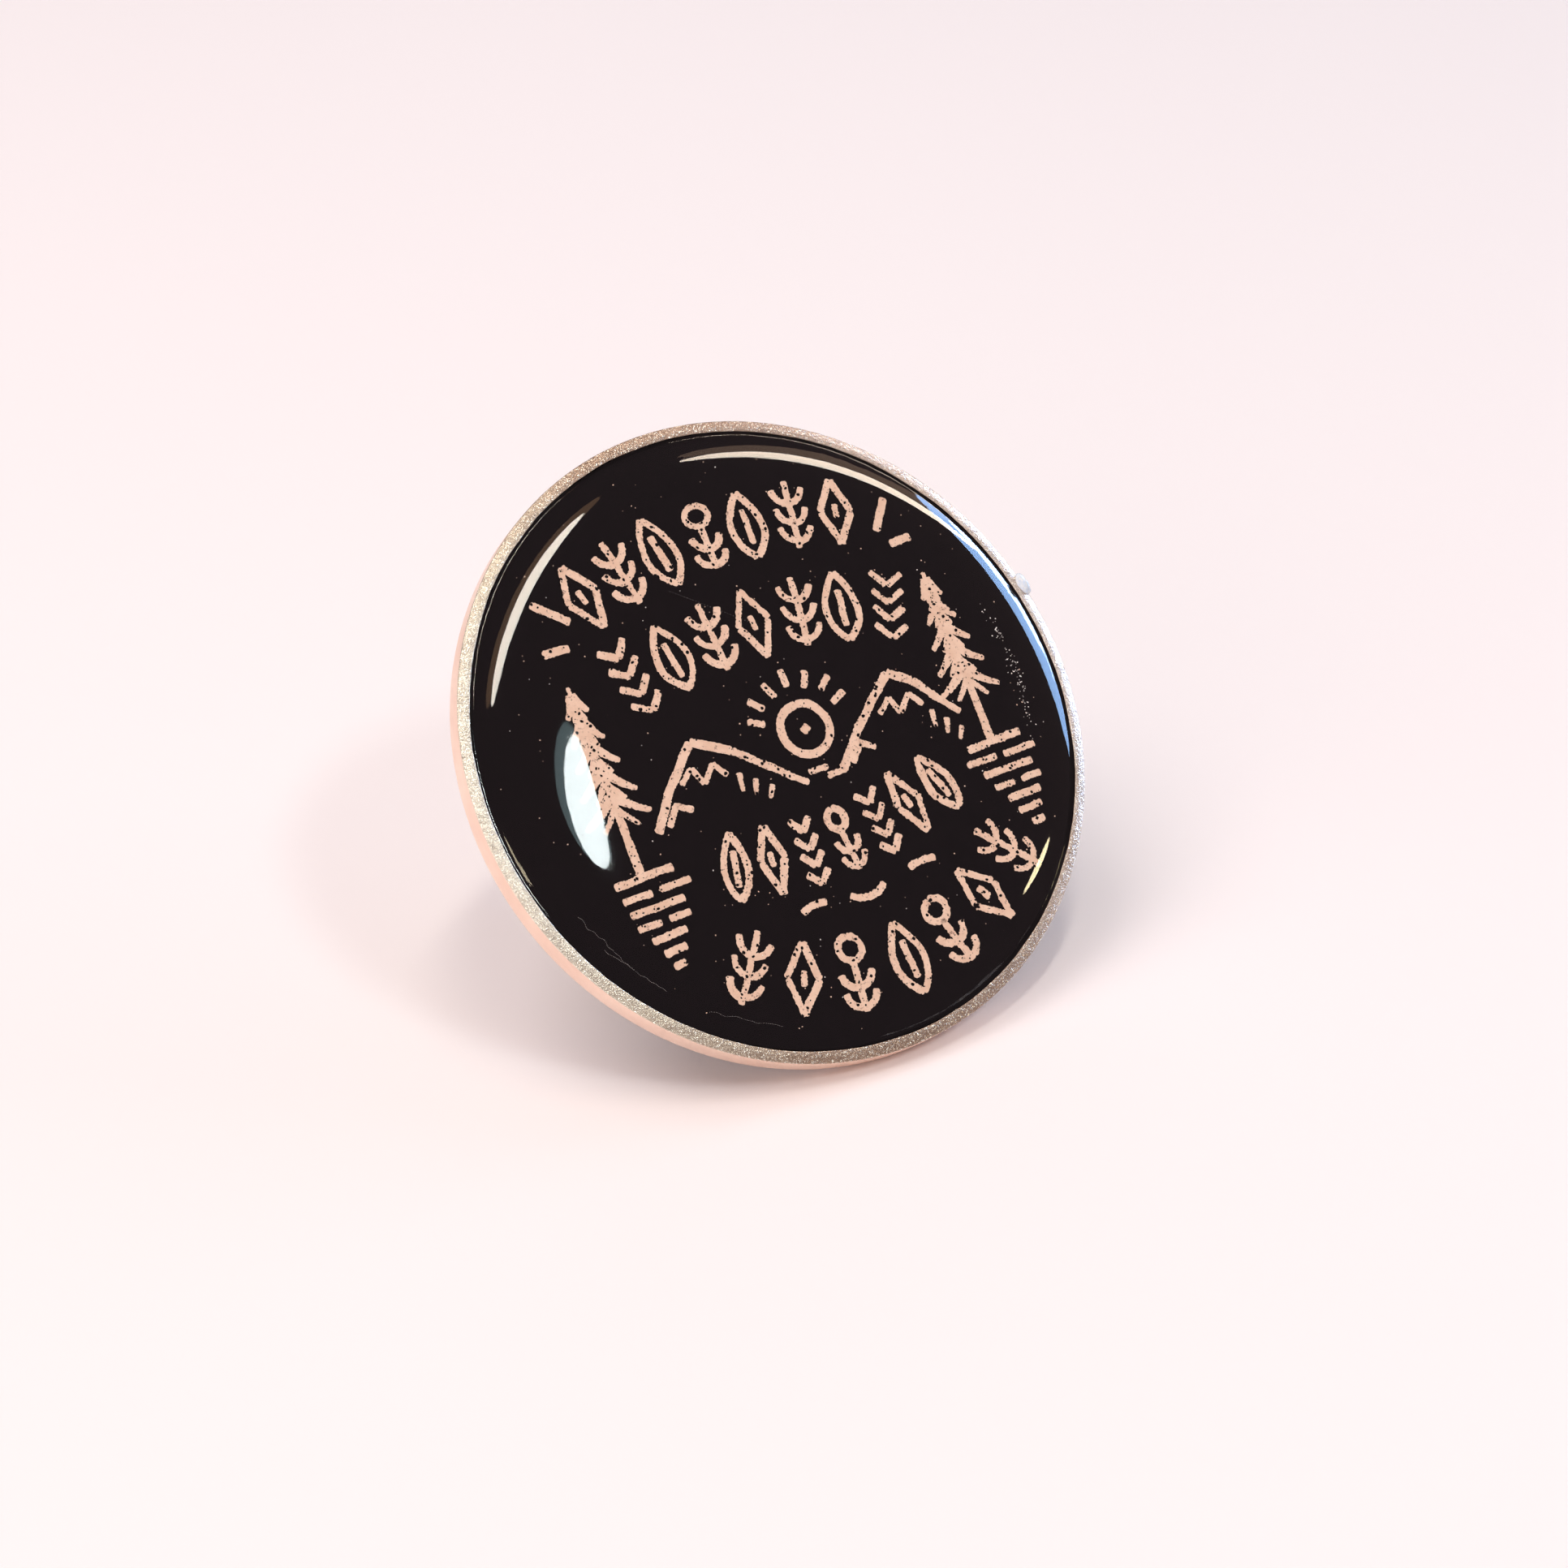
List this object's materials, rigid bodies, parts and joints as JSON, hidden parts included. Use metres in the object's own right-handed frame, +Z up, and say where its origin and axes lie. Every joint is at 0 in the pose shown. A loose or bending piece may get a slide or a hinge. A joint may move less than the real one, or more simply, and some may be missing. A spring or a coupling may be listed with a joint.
{
  "type": "enamel pin",
  "caption": "Round domed badge in a plated tray, with a pointed post and a butterfly clutch behind, leaning back on its rim and clutch wings.",
  "frame": {"origin": "on the floor, under the middle of the whole leaning badge", "axes": "+Z up from the floor that the rim and the wing tips rest on, the face looks towards -Y and leans back, +X across the face"},
  "size_m": [0.025, 0.0184, 0.0184],
  "materials": {
    "tray_metal": "nickel plate, polished wall and fine sand-grained rim top",
    "adhesive": "milky pressure-sensitive adhesive",
    "print": "black printed film with worn rose-beige ink",
    "resin": "clear high-gloss cast resin",
    "post_metal": "nickel plate",
    "solder": "dull soft solder",
    "clutch_metal": "bright nickel plate",
    "spring_metal": "spring brass"
  },
  "bodies": {
    "badge": {"tray": "tray_metal", "adhesive_disc": "adhesive", "printed_insert": "print", "resin_dome": "resin", "post": "post_metal", "solder_ring": "solder"},
    "clutch_base": {"clutch_plate": "clutch_metal"},
    "clutch_housing": {"clutch_cap": "clutch_metal", "clip_spring": "spring_metal"},
    "right_wing": {"wing_right": "clutch_metal"},
    "left_wing": {"wing_left": "clutch_metal"}
  },
  "joints": [
    {"name": "clutch_slide", "type": "slide", "parent": "badge", "child": "clutch_base", "axis": [0, 0.7069, -0.7073], "range_m": [0, 0.03]},
    {"name": "clutch_spin", "type": "hinge", "parent": "clutch_base", "child": "clutch_housing", "pos_m": [0, 0.00482, 0.00441], "axis": [0, 0.7069, -0.7073], "continuous": true},
    {"name": "wing_right_pinch", "type": "hinge", "parent": "clutch_housing", "child": "right_wing", "pos_m": [0.0025, 0.00492, 0.0043], "axis": [0, 0.7073, 0.7069], "range_deg": [0, 12], "stiffness_Nm_per_rad": 0.02},
    {"name": "wing_left_pinch", "type": "hinge", "parent": "clutch_housing", "child": "left_wing", "pos_m": [-0.0025, 0.00492, 0.0043], "axis": [0, -0.7073, -0.7069], "range_deg": [0, 12], "stiffness_Nm_per_rad": 0.02}
  ]
}
